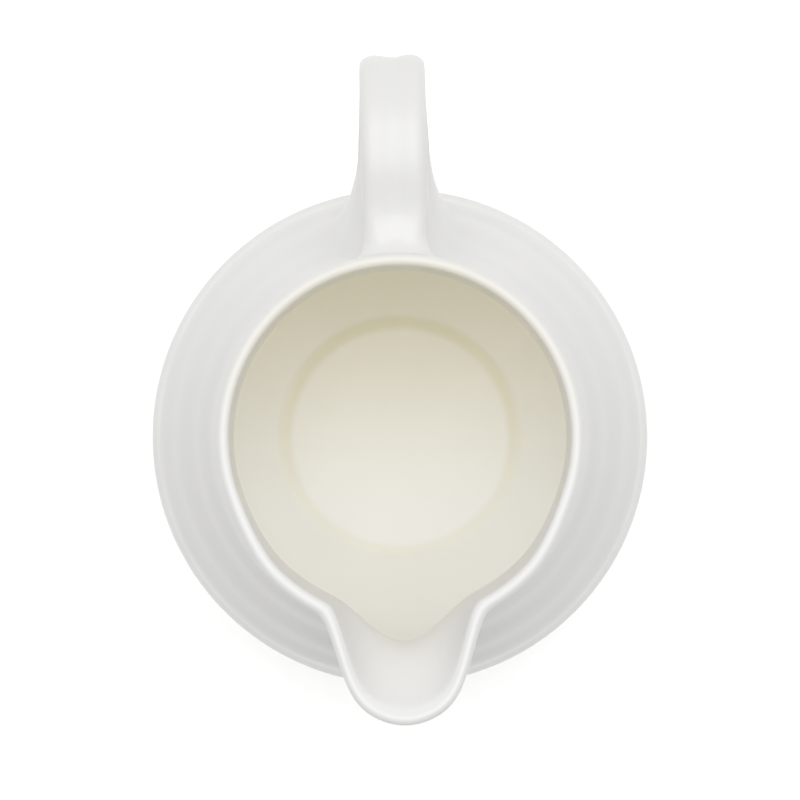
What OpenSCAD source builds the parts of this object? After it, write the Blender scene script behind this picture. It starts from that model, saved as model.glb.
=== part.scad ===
// Cream jug in glazed porcelain.
// The body is a thin-walled round pot with a low belly, a short neck and soft throwing rings.
// A broad spout is drawn out of the neck on the -Y side, and a grooved strap handle stands on the
// +Y side. The jug rests on a turned foot ring. The origin is the centre of the foot, on the table.

/* [Body] */
// Widest outside diameter of the belly
belly_d = 98; // [94:0.5:102]
// Height of the belly's widest ring above the table
belly_z = 35; // [33:0.5:37]
// Outside diameter of the neck at its narrowest
neck_d = 67.4; // [66:0.2:67.8]
// Height of the neck's narrowest ring
neck_z = 76.5; // [75:0.5:78]
// Outside diameter of the rim
rim_d = 68.2; // [67.6:0.2:69]
// Height of the rim above the table
rim_z = 87; // [86:0.5:88]
// Thickness of the fired wall
wall_t = 2.4; // [2.2:0.1:2.6]
// Height of the inside floor above the table
floor_z = 5.4; // [5:0.1:5.8]

/* [Throwing rings] */
// Height from one throwing ring to the next
ring_pitch = 7.3; // [6:0.1:9]
// How far a ring stands out of the wall, and how deep the hollows are
ring_depth = 0.14; // [0:0.01:0.4]
// Height of the top ring
ring_top_z = 60.2; // [59:0.1:61]

/* [Foot ring] */
// Outside diameter of the foot ring
foot_d = 49.5; // [48:0.5:51]
// Width of the foot ring, seen from below
foot_w = 3.4; // [3:0.1:4]
// Height of the foot ring
foot_h = 3; // [2.5:0.1:3.2]

/* [Spout] */
// Distance from the jug's axis to the tip of the spout
spout_reach = 53.4; // [50:0.2:56]
// Half width of the spout between its outer lips
spout_half_w = 13.5; // [12:0.1:14.4]
// How far the whole front of the rim is drawn forward
rim_oval = 2.2; // [0:0.1:3]
// How far the tip stands above the rim
spout_rise = 2.6; // [0:0.1:4]
// Height at which the spout begins to leave the shoulder
spout_root_z = 46; // [44:0.5:50]
// Half angle of the front of the neck that belongs to the spout
spout_half_angle = 72; // [66:1:78]

/* [Handle] */
// Width of the strap
strap_w = 12.4; // [11.4:0.1:13.4]
// Thickness of the strap
strap_t = 5.2; // [4.6:0.1:5.8]
// Depth of the groove along the outer face
groove_depth = 0.75; // [0:0.05:0.9]
// Distance from the jug's axis to the middle of the strap where it stands out furthest
handle_reach = 70.2; // [67:0.2:72]
// Height of the middle of the strap at the top of its rise
handle_top_z = 85.2; // [84:0.2:87]
// Height at which the lower arm meets the shoulder
lower_root_z = 54; // [52:0.5:56]
// Width of the splayed lower root on the shoulder
splay_w = 24; // [20:0.5:26]

/* [Hidden] */
$fn = 96;
porcelain = "#efeeea";
bare_clay = "#e4ddd0";

// A point of a cubic Bezier curve, and its direction there.
function bezier(p, t) =
    pow(1 - t, 3) * p[0] + 3 * t * pow(1 - t, 2) * p[1] + 3 * t * t * (1 - t) * p[2] + pow(t, 3) * p[3];
function bezier_way(p, t) =
    3 * pow(1 - t, 2) * (p[1] - p[0]) + 6 * t * (1 - t) * (p[2] - p[1]) + 3 * t * t * (p[3] - p[2]);
function unit(v) = v / norm(v);

// ---- The wall's outline: three curves, as [radius, height] ----
belly_r = belly_d / 2;
neck_r = neck_d / 2;
rim_r = rim_d / 2;
lip_r = wall_t / 2;
lip_z = rim_z - lip_r;
foot_step = 0.3;
wall_start = [foot_d / 2 + foot_step, foot_h];
// How the wall leaves the foot, and how long it runs upright below and above the belly's widest ring.
foot_pull = [14.6, 7.8];
belly_pull = 15;
shoulder_pull = 17;
neck_pull = 3;
lip_pull = [-0.2, -2.6];
lower_curve = [wall_start, wall_start + foot_pull, [belly_r, belly_z - belly_pull], [belly_r, belly_z]];
shoulder_curve = [[belly_r, belly_z], [belly_r, belly_z + shoulder_pull],
                  [neck_r, neck_z - shoulder_pull], [neck_r, neck_z]];
neck_curve = [[neck_r, neck_z], [neck_r, neck_z + neck_pull], [rim_r, lip_z] + lip_pull, [rim_r, lip_z]];
curves = [lower_curve, shoulder_curve, neck_curve];
curve_steps = 24;
outer_table = [for (c = curves) for (i = [0 : curve_steps - 1])
               let (p = bezier(c, i / curve_steps)) [p[1], p[0]]];
inner_table = [for (c = curves) for (i = [0 : curve_steps - 1])
               let (p = bezier(c, i / curve_steps), w = unit(bezier_way(c, i / curve_steps)))
               [p[1] + w[0] * wall_t, p[0] - w[1] * wall_t]];
full_outer = concat(outer_table, [[lip_z, rim_r]]);
full_inner = concat(inner_table, [[lip_z, rim_r - wall_t]]);

// Throwing rings, which fade out towards the foot and the neck.
ring_low_z = 10;
ring_high_z = 71;
ring_fade = 8;
function fade(d) = d <= 0 ? 0 : d >= ring_fade ? 1 : 0.5 - 0.5 * cos(180 * d / ring_fade);
function ring(z) = ring_depth * cos(360 * (z - ring_top_z) / ring_pitch)
    * fade(z - ring_low_z) * fade(ring_high_z - z);
function outer_r(z) = lookup(z, full_outer) + ring(z);
function inner_r(z) = lookup(z, full_inner);
// The outside of the wall with the round edge of the lip.
function skin_r(z) = z <= lip_z ? outer_r(z) : rim_r - lip_r + sqrt(max(0, lip_r * lip_r - pow(z - lip_z, 2)));

// Points up the outside, over the lip and down the inside, from the heights z_out and z_in.
lip_steps = 8;
function heights(z0, z1, n) = [for (i = [0 : n]) z0 + (z1 - z0) * i / n];
function wall_section(z_out, z_in, steps_out, steps_in) = concat(
    [for (z = heights(z_out, lip_z, steps_out)) [outer_r(z), z]],
    [for (i = [1 : lip_steps - 1]) let (a = 180 * i / lip_steps)
        [rim_r - lip_r + lip_r * cos(a), lip_z + lip_r * sin(a)]],
    [for (z = heights(lip_z, z_in, steps_in)) [inner_r(z), z]]);

// Joins rings of points into one closed solid. Point i of a ring lies across from point n - 1 - i,
// so the two end faces are strips of triangles between the two sides of the ring.
function end_strip(n) = [for (i = [0 : floor(n / 2) - 1]) let (j = n - 1 - i)
    each [if (i + 1 < j) [i, i + 1, j], if (i + 1 < j - 1) [i + 1, j - 1, j]]];
module skin(rings) {
    n = len(rings[0]);
    last = len(rings) - 1;
    polyhedron(
        points = [for (r = rings) for (p = r) p],
        faces = concat(
            end_strip(n),
            [for (k = [0 : last - 1]) for (i = [0 : n - 1]) let (j = (i + 1) % n)
                each [[k * n + i, (k + 1) * n + i, k * n + j],
                      [k * n + j, (k + 1) * n + i, (k + 1) * n + j]]],
            [for (f = end_strip(n)) [for (i = [2 : -1 : 0]) last * n + f[i]]]));
}

// ---- Body ----
// The floor meets the wall in a round corner, which begins corner_rise up the wall and is corner_run wide.
corner_rise = 1.5;
corner_run = 5;
corner_steps = 5;
outside_steps = 68;
inside_steps = 34;
module body() {
    start = [inner_r(floor_z + corner_rise), floor_z + corner_rise];
    middle = [start[0] - 0.5 * corner_run, floor_z];
    end = [start[0] - corner_run, floor_z];
    color(porcelain) difference() {
        rotate_extrude() polygon(concat(
            [[0, foot_h]],
            wall_section(foot_h, floor_z + corner_rise, outside_steps, inside_steps),
            [for (i = [1 : corner_steps]) bezier([start, middle, middle, end], i / corner_steps)],
            [[0, floor_z]]));
        translate([0, 0, spout_root_z]) linear_extrude(rim_z) front_sector(belly_d);
    }
}

// The wedge of the plan that faces the spout.
module front_sector(reach) {
    a = spout_half_angle;
    polygon([[0, 0], [-reach * sin(a), -reach * cos(a)], [-reach * sin(a), -reach],
             [reach * sin(a), -reach], [reach * sin(a), -reach * cos(a)]]);
}

// ---- Spout ----
// The wall is drawn forward, along -Y, by an amount that grows towards the lip. The inside is drawn
// forward less than the outside, and between closer sides, so that the wall keeps its thickness.
spout_pull = spout_reach - rim_r - rim_oval;
inside_drop = 0.4 * wall_t;
inside_narrowing = 0.7 * wall_t;
// The pull grows steadily from the root, and flicks out over the last few millimetres below the lip.
steady_power = 1.4;
flick_power = 8;
flick_share = 0.15;
// The spout is narrower at its root than at its lip, and its lip ends squarer than its root.
root_narrowing = 0.5;
lip_taper = 0.33;
lip_squareness = 6;
// The angle over which the drawn front of the rim runs out into the round of the neck.
oval_fade_angle = 27;
function smooth(t) = let (u = min(1, max(0, t))) u * u * (3 - 2 * u);
function climb(z) = min(1, max(0, (z - spout_root_z) / (lip_z - spout_root_z)));
function growth(h) = (1 - flick_share) * pow(h, steady_power) + flick_share * pow(h, flick_power);
function beak(x, h, inside) =
    let (narrowed = 1 - root_narrowing * (1 - h * h),
         u = abs(x) / ((spout_half_w - inside * inside_narrowing) * narrowed))
    (1 - lip_taper * pow(h, 4) * u * u) * exp(-pow(u, 2 + lip_squareness * pow(h, 4)));
function forward(x, a, z, inside) =
    let (h = climb(z - inside * inside_drop), oval = smooth((spout_half_angle - abs(a)) / oval_fade_angle))
    growth(h) * (spout_pull * max(0, beak(x, h, inside)) + rim_oval * oval);
function drawn(r, a, z, inside) = let (x = r * sin(a), f = forward(x, a, z, inside))
    [x, -r * cos(a) - f, z + spout_rise * pow(climb(z), 3) * pow(f / (spout_pull + rim_oval), 2)];

// Turning angles from the middle of the spout to its edge, closest together along the spout's sides.
side_steps = 30;
side_share = 0.4;
crowding = 0.75;
function turn(u) = spout_half_angle
    * (u - crowding / 2 / PI * (sin(360 * (u - side_share)) - sin(-360 * side_share)));
section_steps = 24;
module spout() {
    section = wall_section(spout_root_z, spout_root_z, section_steps, section_steps);
    crest = section_steps + lip_steps / 2;
    color(porcelain) skin([for (k = [-side_steps : side_steps])
        let (a = sign(k) * turn(abs(k) / side_steps))
        [for (i = [0 : len(section) - 1])
            drawn(section[i][0], a, section[i][1], smooth((i - crest + lip_steps / 2) / lip_steps))]]);
}

// ---- Handle ----
// The strap's middle line in the plane x = 0, as [y, z].
crest_y = 54;
crest_pull = [9.4, -8];
bow_z = 68.5;
bow_pull = [9, -12];
// Where the arms would end inside the body's wall, and the points that bend them on the way there.
upper_end = [33, 83.2];
upper_bend = [41.5, 79.2];
lower_end = [44, lower_root_z];
lower_bend = [59, 47.5];
crest = [crest_y, handle_top_z];
bow_point = [handle_reach, bow_z];
upper_arm = [upper_end, upper_bend, crest + [crest_pull[1], 0], crest];
bow = [crest, crest + [crest_pull[0], 0], bow_point + [0, bow_pull[0]], bow_point];
lower_arm = [bow_point, bow_point + [0, bow_pull[1]], lower_bend, lower_end];
arms = [upper_arm, bow, lower_arm];
// How far along each arm the strap stops and the root begins.
upper_joint_t = 0.42;
lower_joint_t = 0.68;
lower_widening = 0.7;
arm_steps = 12;
stations = concat(
    [for (i = [0 : arm_steps - 1]) [0, upper_joint_t + (1 - upper_joint_t) * i / arm_steps]],
    [for (i = [0 : arm_steps - 1]) [1, i / arm_steps]],
    [for (i = [0 : arm_steps]) [2, lower_joint_t * i / arm_steps]]);
function strap_half_w(s) = strap_w / 2 + (s[0] == 2 ? lower_widening * pow(s[1] / lower_joint_t, 2) : 0);

// The strap's section: flat oval, with a groove along the outer face.
strap_points = 28;
flat_power = [0.62, 0.8];
groove_share = 0.42;
function oval(c, e) = sign(c) * pow(abs(c), e);
function strap_section(half_w, groove) = [for (i = [0 : strap_points - 1])
    let (a = 360 * (i + 0.5) / strap_points,
         x = half_w * oval(cos(a), flat_power[0]), n = strap_t / 2 * oval(sin(a), flat_power[1]))
    [x, n - (n > 0 ? groove * exp(-pow(x / (groove_share * half_w), 2)) * sin(a) : 0)]];
function strap_ring(s, groove) =
    let (c = bezier(arms[s[0]], s[1]), w = unit(bezier_way(arms[s[0]], s[1])))
    [for (p = strap_section(strap_half_w(s), groove)) [p[0], c[0] - w[1] * p[1], c[1] + w[0] * p[1]]];

module handle() {
    color(porcelain) skin([for (s = stations) strap_ring(s, groove_depth)]);
}

// ---- Handle roots ----
// A root runs from the end of the strap and spreads onto the body's wall, where it is cut to fit.
// Its outline on the wall is an egg shape of half width half_w.
root_steps = 8;
sunk = 1.2;
egg_power = [0.8, 0.9];
// Each root's outline on the wall: its lowest, widest and highest heights.
upper_half_w = 7.8;
upper_heights = [75.5, 81, 85.7];
lower_heights = [43, 53, 73];
// How far a root keeps to the strap's line, and the size and height of its swell above the wall.
upper_run = 2.2;
lower_run = 3;
upper_swell = [0.72, 0.5];
lower_swell = [0.62, 0.6];
sunk_share = 0.95;
function on_wall(x, z, out) = [x, sqrt(pow(skin_r(z) + out, 2) - x * x), z];
function patch(half_w, heights, share, out) = [for (i = [0 : strap_points - 1])
    let (a = 360 * (i + 0.5) / strap_points, c = oval(cos(a), egg_power[0]), s = oval(sin(a), egg_power[1]))
    on_wall(share * half_w * c,
            heights[1] + share * s * (s > 0 ? heights[2] - heights[1] : heights[1] - heights[0]), out)];
module root(from, way, reach, edge, inside, sunk_edge) {
    color(porcelain) difference() {
        skin(concat(
            [for (k = [0 : root_steps])
                [for (i = [0 : strap_points - 1])
                    bezier([from[i], from[i] + way * reach, inside[i], edge[i]], k / root_steps)]],
            [sunk_edge]));
        rotate_extrude() polygon(concat(
            [[0, foot_h]], wall_section(foot_h, neck_z, outside_steps, 1), [[0, neck_z]]));
    }
}

upper_way = bezier_way(upper_arm, upper_joint_t);
lower_way = bezier_way(lower_arm, lower_joint_t);
module upper_root() {
    function outline(share, out) = patch(upper_half_w, upper_heights, share, out);
    root(strap_ring([0, upper_joint_t], groove_depth), -unit([0, upper_way[0], upper_way[1]]), upper_run,
         outline(1, 0), outline(upper_swell[0], upper_swell[1]), outline(sunk_share, -sunk));
}

// The lower arm arrives with its outer face down, so the outline is turned over to match it.
module lower_root() {
    function outline(share, out) = let (ring = patch(splay_w / 2, lower_heights, share, out))
        [for (i = [0 : strap_points - 1]) ring[strap_points - 1 - i]];
    root(strap_ring([2, lower_joint_t], groove_depth), unit([0, lower_way[0], lower_way[1]]), lower_run,
         outline(1, 0), outline(lower_swell[0], lower_swell[1]), outline(sunk_share, -sunk));
}

// ---- Foot ring ----
foot_edge = 0.7;
foot_slope = 0.3;
module foot_ring() {
    r1 = foot_d / 2;
    r0 = r1 - foot_w;
    rounding = (1 - sqrt(0.5)) * foot_edge;
    color(bare_clay) rotate_extrude() polygon([
        [r0 - foot_slope, foot_h], [r0, foot_edge], [r0 + rounding, rounding], [r0 + foot_edge, 0],
        [r1 - foot_edge, 0], [r1 - rounding, rounding], [r1, foot_edge], [r1 + foot_slope, foot_h]]);
}

body();
spout();
handle();
upper_root();
lower_root();
foot_ring();
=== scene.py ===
import math

import bmesh
import bpy
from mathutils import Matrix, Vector


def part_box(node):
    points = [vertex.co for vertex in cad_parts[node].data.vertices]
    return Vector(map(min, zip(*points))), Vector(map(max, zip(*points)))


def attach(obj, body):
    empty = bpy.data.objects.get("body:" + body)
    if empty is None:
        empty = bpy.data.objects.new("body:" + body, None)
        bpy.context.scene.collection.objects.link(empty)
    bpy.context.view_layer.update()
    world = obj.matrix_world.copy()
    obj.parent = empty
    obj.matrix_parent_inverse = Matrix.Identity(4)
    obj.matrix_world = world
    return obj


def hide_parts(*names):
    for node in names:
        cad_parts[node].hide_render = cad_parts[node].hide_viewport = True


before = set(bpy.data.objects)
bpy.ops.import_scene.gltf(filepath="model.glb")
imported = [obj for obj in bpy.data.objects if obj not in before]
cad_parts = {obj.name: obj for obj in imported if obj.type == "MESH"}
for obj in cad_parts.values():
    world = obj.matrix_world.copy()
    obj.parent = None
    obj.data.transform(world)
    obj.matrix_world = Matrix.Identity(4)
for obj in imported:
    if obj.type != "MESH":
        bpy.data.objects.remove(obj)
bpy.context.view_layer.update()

# ---- Sizes, in metres. The outer sizes come from the frame. ----
MM = 0.001
BELLY_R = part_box("body")[1].x
RIM_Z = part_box("body")[1].z
FOOT_STEP = 0.3 * MM
FOOT_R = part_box("foot_ring")[1].x - FOOT_STEP
FOOT_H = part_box("foot_ring")[1].z
SPOUT_REACH = -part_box("spout")[0].y
SPOUT_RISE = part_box("spout")[1].z - RIM_Z
HANDLE_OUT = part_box("handle")[1].y
HANDLE_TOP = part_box("handle")[1].z

BELLY_Z = 35 * MM
NECK_R, NECK_Z = 33.7 * MM, 76.5 * MM
RIM_R = 34.1 * MM
WALL = 2.4 * MM
LIP_R = WALL / 2
LIP_Z = RIM_Z - LIP_R
FLOOR_Z = 5.4 * MM
CORNER_RISE, CORNER_RUN = 1.2 * MM, 4 * MM
# How the wall leaves the foot, and how long it runs upright at the belly, the neck and the lip.
FOOT_PULL = Vector((14.9, 7.8)) * MM
BELLY_PULL = 15 * MM
SHOULDER_PULL = 17 * MM
NECK_PULL = 3 * MM
LIP_PULL = Vector((-0.2, -2.6)) * MM

RING_PITCH = 7.3 * MM
RING_DEPTH = 0.18 * MM
RING_TOP_Z = 60.9 * MM
RING_LOW_Z, RING_HIGH_Z, RING_FADE = 10 * MM, 71 * MM, 8 * MM

SPOUT_ROOT_Z = 46 * MM
SPOUT_HALF_ANGLE = math.radians(72)
SPOUT_HALF_W = 13.5 * MM
SPOUT_RISE_POWER = 3
RIM_OVAL = 2.2 * MM

STRAP_HALF_W = 6.2 * MM
STRAP_HALF_T = 2.6 * MM
GROOVE_DEPTH = 0.75 * MM


# ---- Curves ----
def bezier(p, t):
    return (p[0] * (1 - t) ** 3 + p[1] * 3 * t * (1 - t) ** 2
            + p[2] * 3 * t * t * (1 - t) + p[3] * t ** 3)


def bezier_way(p, t):
    return ((p[1] - p[0]) * 3 * (1 - t) ** 2 + (p[2] - p[1]) * 6 * t * (1 - t)
            + (p[3] - p[2]) * 3 * t * t).normalized()


def smooth(t):
    u = min(1, max(0, t))
    return u * u * (3 - 2 * u)


def spread(start, end, steps):
    return [start + (end - start) * i / steps for i in range(steps + 1)]


# ---- The wall's section, as radius against height ----
WALL_CURVES = [
    [Vector((FOOT_R + FOOT_STEP, FOOT_H)), Vector((FOOT_R, FOOT_H)) + FOOT_PULL,
     Vector((BELLY_R, BELLY_Z - BELLY_PULL)), Vector((BELLY_R, BELLY_Z))],
    [Vector((BELLY_R, BELLY_Z)), Vector((BELLY_R, BELLY_Z + SHOULDER_PULL)),
     Vector((NECK_R, NECK_Z - SHOULDER_PULL)), Vector((NECK_R, NECK_Z))],
    [Vector((NECK_R, NECK_Z)), Vector((NECK_R, NECK_Z + NECK_PULL)),
     Vector((RIM_R, LIP_Z)) + LIP_PULL, Vector((RIM_R, LIP_Z))],
]


TABLE_STEPS = 150


def wall_table(depth):
    """(height, radius) all the way up the wall, at that depth under its outside."""
    rows = []
    for curve in WALL_CURVES:
        for t in spread(0, 1, TABLE_STEPS):
            p, way = bezier(curve, t), bezier_way(curve, t)
            rows.append((p.y + way.x * depth, p.x - way.y * depth))
    return rows


OUTSIDE, INSIDE = wall_table(0), wall_table(WALL)


def look_up(table, z):
    low, high = 0, len(table) - 1
    while high - low > 1:
        middle = (low + high) // 2
        if table[middle][0] > z:
            high = middle
        else:
            low = middle
    (z0, r0), (z1, r1) = table[low], table[high]
    return r0 if z1 == z0 else r0 + (r1 - r0) * min(1, max(0, (z - z0) / (z1 - z0)))


def throwing_ring(z):
    fade = smooth((z - RING_LOW_Z) / RING_FADE) * smooth((RING_HIGH_Z - z) / RING_FADE)
    return RING_DEPTH * math.cos(math.tau * (z - RING_TOP_Z) / RING_PITCH) * fade


def outer_r(z):
    """Radius of the outside, round the lip's edge included."""
    if z > LIP_Z:
        return RIM_R - LIP_R + math.sqrt(max(0, LIP_R ** 2 - (z - LIP_Z) ** 2))
    return look_up(OUTSIDE, z) + throwing_ring(z)


def inner_r(z):
    return look_up(INSIDE, z)


UPPER_ROWS = 56
LOWER_ROWS = 60
LOWER_INSIDE_ROWS = 44
LIP_ROWS = 12


def wall_section():
    """The section as (radius, height, inside), from the middle of the base, over the lip, to the floor.

    inside goes from 0 on the outside, over the lip, to 1 on the inside.
    """
    corner_z = FLOOR_Z + CORNER_RISE
    corner_r = inner_r(corner_z)
    rows = [(r, FOOT_H, 0) for r in spread(0, FOOT_R - 4 * MM, 10)]
    rows += [(FOOT_R - 1.5 * MM, FOOT_H, 0)]
    rows += [(outer_r(z), z, 0) for z in spread(FOOT_H, SPOUT_ROOT_Z, LOWER_ROWS)]
    rows += [(outer_r(z), z, 0) for z in spread(SPOUT_ROOT_Z, LIP_Z, UPPER_ROWS)[1:]]
    for i in range(1, LIP_ROWS):
        a = math.pi * i / LIP_ROWS
        rows.append((RIM_R - LIP_R + LIP_R * math.cos(a), LIP_Z + LIP_R * math.sin(a), smooth(i / LIP_ROWS)))
    rows += [(inner_r(z), z, 1) for z in spread(LIP_Z, SPOUT_ROOT_Z, UPPER_ROWS)]
    rows += [(inner_r(z), z, 1) for z in spread(SPOUT_ROOT_Z, corner_z, LOWER_INSIDE_ROWS)[1:]]
    # The floor meets the wall in a broad round corner.
    corner = [Vector((corner_r, corner_z)), Vector((corner_r - 1.7 * MM, FLOOR_Z + 0.3 * MM)),
              Vector((corner_r - CORNER_RUN / 2, FLOOR_Z)), Vector((corner_r - CORNER_RUN, FLOOR_Z))]
    rows += [(*bezier(corner, t), 1) for t in spread(0, 1, 10)[1:]]
    rows += [(r, FLOOR_Z, 1) for r in spread(rows[-1][0], 0, 14)[1:]]
    return rows


# ---- The spout: how far the front of the wall is drawn forward ----
SPOUT_PULL = SPOUT_REACH - RIM_R - RIM_OVAL
OVAL_FADE = math.radians(27)
# The inside is drawn forward a little later and between closer sides, so that the wall keeps its thickness.
INSIDE_DROP = 0.4 * WALL
INSIDE_NARROWING = 0.7 * WALL
# The pull grows steadily from the root, and flicks out over the last few millimetres below the lip.
STEADY_POWER, FLICK_POWER, FLICK_SHARE = 1.4, 8, 0.15
# The spout is narrower at its root than at its lip, and its lip ends squarer than its root.
ROOT_NARROWING = 0.5
LIP_TAPER = 0.33
LIP_SQUARENESS = 6


def climb(z):
    return min(1, max(0, (z - SPOUT_ROOT_Z) / (LIP_Z - SPOUT_ROOT_Z)))


def forward(x, angle, z, inside):
    """How far forward a point of the wall is drawn."""
    h = climb(z - inside * INSIDE_DROP)
    half_w = (SPOUT_HALF_W - inside * INSIDE_NARROWING) * (1 - ROOT_NARROWING * (1 - h * h))
    u = abs(x) / half_w
    beak = max(0, 1 - LIP_TAPER * h ** 4 * u * u) * math.exp(-min(60, u ** (2 + LIP_SQUARENESS * h ** 4)))
    oval = smooth((SPOUT_HALF_ANGLE - abs(angle)) / OVAL_FADE)
    growth = (1 - FLICK_SHARE) * h ** STEADY_POWER + FLICK_SHARE * h ** FLICK_POWER
    return growth * (SPOUT_PULL * beak + RIM_OVAL * oval)


SIDE_SHARE = 0.4
CROWDING = 0.75


def turn(share):
    """Angle of a column of points in the front of the neck. The columns crowd along the spout's sides."""
    wave = math.sin(math.tau * (share - SIDE_SHARE)) + math.sin(math.tau * SIDE_SHARE)
    return SPOUT_HALF_ANGLE * (share - CROWDING / math.tau * wave)


def draw_spout(bm, inside):
    for v in bm.verts:
        r = math.hypot(v.co.x, v.co.y)
        angle = math.atan2(v.co.x, -v.co.y)
        if r < 1e-9 or abs(angle) > SPOUT_HALF_ANGLE + 1e-6:
            continue
        angle = math.copysign(turn(abs(angle) / SPOUT_HALF_ANGLE), angle)
        x, z = r * math.sin(angle), v.co.z
        f = forward(x, angle, z, v[inside])
        rise = SPOUT_RISE * climb(z) ** SPOUT_RISE_POWER * (f / (SPOUT_PULL + RIM_OVAL)) ** 2
        v.co = (x, -r * math.cos(angle) - f, z + rise)


# ---- Mesh tools ----
def spin(rows, columns):
    """A section of (radius, height, inside) rows spun about the axis, and its layer of inside values."""
    bm = bmesh.new()
    inside = bm.verts.layers.float.new("inside")
    line = []
    for r, z, side in rows:
        v = bm.verts.new((0, -r, z))
        v[inside] = side
        line.append(v)
    edges = [bm.edges.new(pair) for pair in zip(line, line[1:])]
    bmesh.ops.spin(bm, geom=line + edges, cent=(0, 0, 0), axis=(0, 0, 1), angle=math.tau,
                   steps=columns, use_merge=True)
    bmesh.ops.remove_doubles(bm, verts=bm.verts[:], dist=0.001 * MM)
    bmesh.ops.recalc_face_normals(bm, faces=bm.faces[:])
    return bm, inside


def tube(rings):
    """A tube through rings of points, all with as many points, and its layer of ring numbers."""
    around = len(rings[0])
    bm = bmesh.new()
    number = bm.verts.layers.int.new("ring")
    bmesh.ops.create_grid(bm, x_segments=around, y_segments=len(rings) - 1, size=1)
    bm.verts.ensure_lookup_table()
    for j, ring in enumerate(rings):
        for i in range(around + 1):
            v = bm.verts[j * (around + 1) + i]
            v.co = ring[i % around]
            v[number] = j
    bmesh.ops.remove_doubles(bm, verts=bm.verts[:], dist=0.0001 * MM)
    bmesh.ops.holes_fill(bm, edges=[e for e in bm.edges if e.is_boundary])
    bmesh.ops.recalc_face_normals(bm, faces=bm.faces[:])
    return bm, number


def keep_shading(bm):
    """Writes each point's normal on it, so that pieces cut from one form still shade as one."""
    bm.normal_update()
    shade = bm.verts.layers.float_vector.new("shade")
    for v in bm.verts:
        v[shade] = v.normal


def close_wall_cut(bm):
    """Closes a cut through the wall, between its outside and its inside edge. Returns the new faces."""
    inside = bm.verts.layers.float["inside"]
    edge = [e for e in bm.edges if e.is_boundary]
    outer = [e for e in edge if max(v[inside] for v in e.verts) < 0.5]
    inner = [e for e in edge if min(v[inside] for v in e.verts) > 0.5]
    made = bmesh.ops.bridge_loops(bm, edges=outer + inner)["faces"]
    made += bmesh.ops.holes_fill(bm, edges=[e for e in bm.edges if e.is_boundary], sides=3)["faces"]
    return made


def close_ring_cut(bm):
    """Closes a cut across the strap."""
    return bmesh.ops.holes_fill(bm, edges=[e for e in bm.edges if e.is_boundary])["faces"]


def cut_piece(name, whole, keep, close):
    """The faces of a whole form that keep() picks, as a closed piece of its own."""
    kept = [keep(f) for f in whole.faces]
    bm = whole.copy()
    bmesh.ops.delete(bm, geom=[f for f, stays in zip(bm.faces, kept) if not stays], context="FACES")
    hidden = set(close(bm))
    bmesh.ops.recalc_face_normals(bm, faces=bm.faces[:])
    shade = bm.verts.layers.float_vector["shade"]
    normals = [f.normal.copy() if f in hidden else loop.vert[shade].copy()
               for f in bm.faces for loop in f.loops]
    bm.verts.layers.float_vector.remove(shade)
    return finish_mesh(name, bm, normals)


def finish_mesh(name, bm, normals=None):
    open_edges = sum(not e.is_manifold for e in bm.edges)
    if open_edges:
        raise ValueError(f"{name} has {open_edges} open edges")
    mesh = bpy.data.meshes.new(name)
    bm.to_mesh(mesh)
    bm.free()
    mesh.shade_smooth()
    if normals:
        mesh.normals_split_custom_set(normals)
    piece = bpy.data.objects.new(name, mesh)
    bpy.context.scene.collection.objects.link(piece)
    return piece


# ---- Body and spout ----
COLUMNS = 300


def is_spout(face):
    c = face.calc_center_median()
    return c.z > SPOUT_ROOT_Z and abs(math.atan2(c.x, -c.y)) < SPOUT_HALF_ANGLE


def make_body_and_spout():
    whole, inside = spin(wall_section(), COLUMNS)
    draw_spout(whole, inside)
    keep_shading(whole)
    body = cut_piece("jug_body", whole, lambda f: not is_spout(f), close_wall_cut)
    spout = cut_piece("jug_spout", whole, is_spout, close_wall_cut)
    whole.free()
    return body, spout


# ---- Handle and its roots ----
STRAP_POINTS = 72
FLAT_POWERS = (0.62, 0.8)
GROOVE_SHARE = 0.42
LOWER_WIDENING = 0.7 * MM
# The strap's middle line, as (y, z): up from the neck to the crest, over the bow, down to the shoulder.
CREST = Vector((54 * MM, HANDLE_TOP - STRAP_HALF_T))
BOW_MIDDLE = Vector((HANDLE_OUT - 2.31 * MM, 68.5 * MM))
UPPER_ARM = [Vector((33, 83.2)) * MM, Vector((41.5, 79.2)) * MM, CREST - Vector((8, 0)) * MM, CREST]
BOW = [CREST, CREST + Vector((9.4, 0)) * MM, BOW_MIDDLE + Vector((0, 9)) * MM, BOW_MIDDLE]
LOWER_ARM = [BOW_MIDDLE, BOW_MIDDLE - Vector((0, 12)) * MM, Vector((59, 47.5)) * MM, Vector((44, 54)) * MM]
# How far along each arm the strap stops and the root begins.
UPPER_JOINT, LOWER_JOINT = 0.42, 0.68
ARM_STEPS = 30
ROOT_STEPS = 24
# A root's outline on the wall: its half width, and its lowest, widest and highest heights.
UPPER_OUTLINE = (7.8 * MM, 75.5 * MM, 81 * MM, 85.7 * MM)
LOWER_OUTLINE = (12 * MM, 43 * MM, 53 * MM, 73 * MM)
EGG_POWERS = (0.8, 0.9)
# How far a root keeps to the strap's line, and the size and height of its swell above the wall.
UPPER_RUN, LOWER_RUN = 2.2 * MM, 7 * MM
UPPER_SWELL, LOWER_SWELL = (0.62, 2.2 * MM), (0.82, 0.7 * MM)
SUNK = 0.6 * MM
SUNK_SHARES = (1.1, 0.9, 0.7, 0.5, 0.3, 0.1)


def oval(c, power):
    return math.copysign(abs(c) ** power, c)


def around_strap():
    return [math.tau * (i + 0.5) / STRAP_POINTS for i in range(STRAP_POINTS)]


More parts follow.
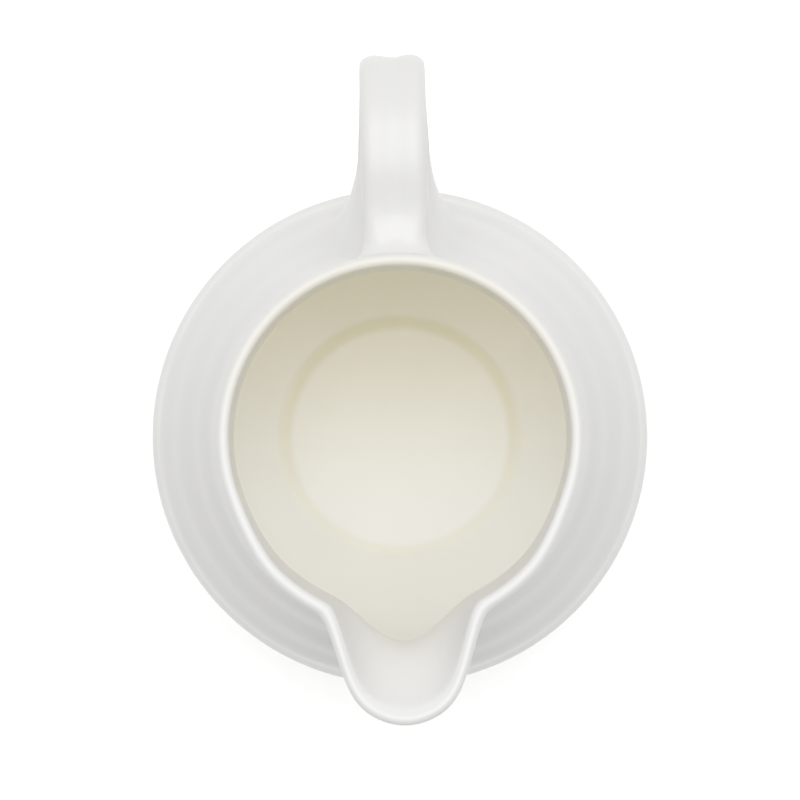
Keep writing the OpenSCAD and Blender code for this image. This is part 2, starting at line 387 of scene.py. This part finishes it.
def strap_ring(arm, t, half_w):
    """A ring of points across the strap: a flat oval with a groove along its outer face."""
    middle, way = bezier(arm, t), bezier_way(arm, t)
    ring = []
    for a in around_strap():
        x, n = half_w * oval(math.cos(a), FLAT_POWERS[0]), STRAP_HALF_T * oval(math.sin(a), FLAT_POWERS[1])
        if n > 0:
            n -= GROOVE_DEPTH * math.exp(-(x / (GROOVE_SHARE * half_w)) ** 2) * math.sin(a)
        ring.append(Vector((x, middle.x - way.y * n, middle.y + way.x * n)))
    return ring


def root_outline(half_w, low_z, mid_z, high_z, share, out, turned_over=False):
    """An egg-shaped ring on the wall, at that share of its full size, standing out from the wall by out."""
    ring = []
    for a in around_strap():
        x = share * half_w * oval(math.cos(a), EGG_POWERS[0])
        s = oval(math.sin(a), EGG_POWERS[1])
        z = mid_z + share * (high_z - mid_z if s > 0 else mid_z - low_z) * s
        ring.append(Vector((x, math.sqrt((outer_r(z) + out) ** 2 - x * x), z)))
    return ring[::-1] if turned_over else ring


def root_rings(start, way, reach, swell, outline):
    """Rings from the strap's end ring to the wall, then closing up under the wall's surface.

    swell shapes the last stretch above the wall.
    """
    edge, inside = outline(1, 0), outline(*swell)
    rings = [[bezier([p, p + way * reach, q, e], t) for p, q, e in zip(start, inside, edge)]
             for t in spread(0, 1, ROOT_STEPS)[1:]]
    return rings + [outline(share, -SUNK) for share in SUNK_SHARES]


def make_handle():
    def strap_half_w(t):
        return STRAP_HALF_W + LOWER_WIDENING * (t / LOWER_JOINT) ** 2

    strap = [strap_ring(UPPER_ARM, t, STRAP_HALF_W) for t in spread(UPPER_JOINT, 1, ARM_STEPS // 2)]
    strap += [strap_ring(BOW, t, STRAP_HALF_W) for t in spread(0, 1, ARM_STEPS)[1:]]
    strap += [strap_ring(LOWER_ARM, t, strap_half_w(t)) for t in spread(0, LOWER_JOINT, ARM_STEPS)[1:]]
    upper_way, lower_way = bezier_way(UPPER_ARM, UPPER_JOINT), bezier_way(LOWER_ARM, LOWER_JOINT)
    upper = root_rings(
        strap[0], Vector((0, -upper_way.x, -upper_way.y)), UPPER_RUN, UPPER_SWELL,
        lambda share, out: root_outline(*UPPER_OUTLINE, share, out))
    lower = root_rings(
        strap[-1], Vector((0, lower_way.x, lower_way.y)), LOWER_RUN, LOWER_SWELL,
        lambda share, out: root_outline(*LOWER_OUTLINE, share, out, turned_over=True))
    whole, number = tube(upper[::-1] + strap + lower)
    keep_shading(whole)
    first, last = len(upper), len(upper) + len(strap) - 1

    def between(low, high):
        return lambda f: all(low <= v[number] <= high for v in f.verts)

    handle = cut_piece("jug_handle", whole, between(first, last), close_ring_cut)
    upper_root = cut_piece("jug_upper_root", whole, between(0, first), close_ring_cut)
    lower_root = cut_piece("jug_lower_root", whole, between(last, last + len(lower)), close_ring_cut)
    whole.free()
    return handle, upper_root, lower_root


# ---- Foot ring ----
FOOT_W = 3.4 * MM
FOOT_EDGE = 0.7 * MM


def make_foot_ring():
    inner, outer = FOOT_R - FOOT_W, FOOT_R
    rows = [(inner - 0.3 * MM, FOOT_H, 0)]
    for centre, start in ((inner + FOOT_EDGE, math.pi), (outer - FOOT_EDGE, 1.5 * math.pi)):
        for a in spread(start, start + math.pi / 2, 6):
            rows.append((centre + FOOT_EDGE * math.cos(a), FOOT_EDGE + FOOT_EDGE * math.sin(a), 0))
    rows += [(outer + 0.1 * MM, FOOT_H, 0), (outer - 1.6 * MM, FOOT_H, 0), rows[0]]
    bm, _ = spin(rows, 180)
    return finish_mesh("jug_foot_ring", bm)


# ---- Materials ----
def new_material(name):
    material = bpy.data.materials.new(name)
    material.use_nodes = True
    nodes, links = material.node_tree.nodes, material.node_tree.links
    return material, nodes, links, nodes["Principled BSDF"]


def noise(nodes, links, where, scale, detail=2.0, roughness=0.5):
    texture = nodes.new("ShaderNodeTexNoise")
    texture.inputs["Scale"].default_value = scale
    texture.inputs["Detail"].default_value = detail
    texture.inputs["Roughness"].default_value = roughness
    links.new(where, texture.inputs["Vector"])
    return texture.outputs["Fac"]


def ramp(nodes, links, value, low, high, to_low, to_high, kind="LINEAR"):
    """value, carried from the range low to high to the range to_low to to_high."""
    node = nodes.new("ShaderNodeMapRange")
    node.interpolation_type = kind
    for name, number in (("From Min", low), ("From Max", high), ("To Min", to_low), ("To Max", to_high)):
        node.inputs[name].default_value = number
    links.new(value, node.inputs["Value"])
    return node.outputs["Result"]


def combine(nodes, links, operation, value, other=None):
    """A maths node. other is a socket, a number or nothing."""
    node = nodes.new("ShaderNodeMath")
    node.operation = operation
    links.new(value, node.inputs[0])
    if isinstance(other, bpy.types.NodeSocket):
        links.new(other, node.inputs[1])
    elif other is not None:
        node.inputs[1].default_value = other
    return node.outputs[0]


def tint(nodes, links, factor, below, above):
    """below where factor is 0, above where it is 1. Either may be a colour or a socket."""
    node = nodes.new("ShaderNodeMix")
    node.data_type = "RGBA"
    links.new(factor, node.inputs[0])
    for socket, colour in ((node.inputs[6], below), (node.inputs[7], above)):
        if isinstance(colour, bpy.types.NodeSocket):
            links.new(colour, socket)
        else:
            socket.default_value = (*colour, 1)
    return node.outputs[2]


def glaze_bump(nodes, links, where, shader):
    """The faint unevenness of a poured glaze, with a few pinholes."""
    soft = nodes.new("ShaderNodeBump")
    soft.inputs["Strength"].default_value = 0.12
    soft.inputs["Distance"].default_value = 0.04 * MM
    links.new(noise(nodes, links, where, 110, 1.0), soft.inputs["Height"])
    fine = nodes.new("ShaderNodeBump")
    fine.inputs["Strength"].default_value = 0.06
    fine.inputs["Distance"].default_value = 0.01 * MM
    links.new(noise(nodes, links, where, 1500, 1.0), fine.inputs["Height"])
    links.new(soft.outputs["Normal"], fine.inputs["Normal"])
    links.new(fine.outputs["Normal"], shader.inputs["Normal"])


OUTSIDE_GLAZE = (0.872, 0.867, 0.85)
# The inside's colours are painted light and shade: near white where the light falls on the front of the
# inside, cream on its shaded side towards the handle.
LIT_INSIDE_GLAZE = (0.975, 0.975, 0.975)
SHADED_INSIDE_GLAZE = (0.94, 0.908, 0.785)
THICK_GLAZE = (0.86, 0.855, 0.83)
# Painted shade: the corner round the inside floor is darkened and yellowed with this colour.
CORNER_SHADE_GLAZE = (0.83, 0.79, 0.60)
BARE_CLAY = (0.70, 0.66, 0.58)

# Where the painted corner shade lies, and how wide it is.
CORNER_SHADE_R = FOOT_R - 1.2 * MM
CORNER_SHADE_HALF_W = 2.4 * MM


def corner_shade_mask(nodes, links, where):
    """1 in the corner around the floor, where painted shade darkens and yellows the glaze, and 0 away from
    it.
    """
    plan = nodes.new("ShaderNodeVectorMath")
    plan.operation = "MULTIPLY"
    plan.inputs[1].default_value = (1, 1, 0)
    links.new(where, plan.inputs[0])
    radius = nodes.new("ShaderNodeVectorMath")
    radius.operation = "LENGTH"
    links.new(plan.outputs["Vector"], radius.inputs[0])
    away = combine(nodes, links, "SUBTRACT", radius.outputs["Value"], CORNER_SHADE_R)
    return ramp(nodes, links, combine(nodes, links, "ABSOLUTE", away), 0, CORNER_SHADE_HALF_W, 1, 0, "SMOOTHERSTEP")


def glaze_and_painted_shade(nodes, links, where):
    """White outside. Inside, painted light and shade: near white on the lit front, creamier towards the
    handle's side, where the inside lies in shade, and darkest in the painted shade in the corner of the
    floor.
    """
    inside = nodes.new("ShaderNodeAttribute")
    inside.attribute_name = "inside"
    along = nodes.new("ShaderNodeSeparateXYZ")
    links.new(where, along.inputs[0])
    # Painted shade: 0 on the lit front of the inside, 1 towards the handle's side, where the inside lies in
    # shade.
    shade_side = ramp(nodes, links, along.outputs["Y"], -0.4 * RIM_R, 0.85 * RIM_R, 0, 1)
    shaded_inside = tint(nodes, links, shade_side, LIT_INSIDE_GLAZE, SHADED_INSIDE_GLAZE)
    # The painted corner shade is strongest on the shaded handle's side and fainter on the lit front.
    depth = ramp(nodes, links, shade_side, 0, 1, 0.3, 1)
    corner_shade = combine(nodes, links, "MULTIPLY", corner_shade_mask(nodes, links, where), depth)
    shaded_inside = tint(nodes, links, corner_shade, shaded_inside, CORNER_SHADE_GLAZE)
    glaze = tint(nodes, links, inside.outputs["Fac"], OUTSIDE_GLAZE, shaded_inside)
    cloud = ramp(nodes, links, noise(nodes, links, where, 38, 1), 0.3, 0.75, 0, 0.12)
    return tint(nodes, links, cloud, glaze, THICK_GLAZE)


def glazed_porcelain():
    material, nodes, links, shader = new_material("glazed_porcelain")
    where = nodes.new("ShaderNodeTexCoord").outputs["Object"]
    links.new(glaze_and_painted_shade(nodes, links, where), shader.inputs["Base Color"])
    links.new(ramp(nodes, links, noise(nodes, links, where, 90, 2), 0.3, 0.7, 0.28, 0.35),
              shader.inputs["Roughness"])
    shader.inputs["IOR"].default_value = 1.45
    shader.inputs["Specular IOR Level"].default_value = 0.4
    shader.inputs["Coat Weight"].default_value = 0.02
    shader.inputs["Coat Roughness"].default_value = 0.12
    glaze_bump(nodes, links, where, shader)
    return material


def bare_porcelain():
    """The foot: glazed down its sides, wiped bare where it stands."""
    material, nodes, links, shader = new_material("bare_porcelain")
    where = nodes.new("ShaderNodeTexCoord").outputs["Object"]
    height = nodes.new("ShaderNodeSeparateXYZ")
    links.new(where, height.inputs[0])
    ragged = ramp(nodes, links, noise(nodes, links, where, 420, 2), 0, 1, -0.25 * MM, 0.25 * MM)
    edge = combine(nodes, links, "ADD", height.outputs["Z"], ragged)
    bare = ramp(nodes, links, edge, 0.55 * MM, 0.75 * MM, 1, 0)
    grain = ramp(nodes, links, noise(nodes, links, where, 2600, 3), 0.3, 0.7, 0, 1)
    clay = tint(nodes, links, grain, BARE_CLAY, tuple(0.9 * c for c in BARE_CLAY))
    links.new(tint(nodes, links, bare, glaze_and_painted_shade(nodes, links, where), clay), shader.inputs["Base Color"])
    links.new(ramp(nodes, links, bare, 0, 1, 0.2, 0.75), shader.inputs["Roughness"])
    glaze_bump(nodes, links, where, shader)
    return material


# ---- Floor, light and camera ----
def make_floor():
    bm = bmesh.new()
    bmesh.ops.create_grid(bm, x_segments=1, y_segments=1, size=8)
    floor = bpy.data.objects.new("floor", bpy.data.meshes.new("floor"))
    bm.to_mesh(floor.data)
    bm.free()
    bpy.context.scene.collection.objects.link(floor)
    material, nodes, links, shader = new_material("floor_paper")
    where = nodes.new("ShaderNodeTexCoord").outputs["Object"]
    links.new(tint(nodes, links, noise(nodes, links, where, 30, 3), (0.9, 0.9, 0.9), (0.88, 0.88, 0.88)),
              shader.inputs["Base Color"])
    shader.inputs["Roughness"].default_value = 0.9
    shader.inputs["Specular IOR Level"].default_value = 0.1
    shader.inputs["Emission Color"].default_value = (1, 1, 1, 1)
    shader.inputs["Emission Strength"].default_value = 0.36
    floor.data.materials.append(material)


def make_light():
    world = bpy.data.worlds.new("studio")
    bpy.context.scene.world = world
    world.use_nodes = True
    world.node_tree.nodes["Background"].inputs["Color"].default_value = (1, 1, 1, 1)
    world.node_tree.nodes["Background"].inputs["Strength"].default_value = 0.27
    lamp = bpy.data.objects.new("softbox", bpy.data.lights.new("softbox", "AREA"))
    lamp.data.shape = "RECTANGLE"
    lamp.data.size, lamp.data.size_y = 1.4, 1.1
    lamp.data.energy = 11.2
    lamp.location = (0.02, 0.26, 1.1)
    bpy.context.scene.collection.objects.link(lamp)


RIM_TO_CAMERA = 0.724
FIELD_AT_RIM = 0.1482


def make_camera():
    """The camera looks straight down the jug's axis, with the handle at the top of the view."""
    camera = bpy.data.objects.new("camera", bpy.data.cameras.new("camera"))
    camera.data.sensor_width = 36
    camera.data.lens = 36 * RIM_TO_CAMERA / FIELD_AT_RIM
    camera.data.shift_y = 0.046
    camera.location = (0, 0, RIM_Z + RIM_TO_CAMERA)
    camera.rotation_euler = (0, 0, math.radians(-1.25))
    bpy.context.scene.collection.objects.link(camera)
    bpy.context.scene.camera = camera


# ---- The jug ----
def add(piece, node, material):
    piece.data.materials.append(material)
    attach(piece, "root")
    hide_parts(node)


glaze, bare = glazed_porcelain(), bare_porcelain()
body, spout = make_body_and_spout()
handle, upper_root, lower_root = make_handle()
add(body, "body", glaze)
add(spout, "spout", glaze)
add(handle, "handle", glaze)
add(upper_root, "upper_root", glaze)
add(lower_root, "lower_root", glaze)
add(make_foot_ring(), "foot_ring", bare)

make_floor()
make_light()
make_camera()
bpy.context.scene.view_settings.view_transform = "Standard"
bpy.context.scene.cycles.diffuse_bounces = 10
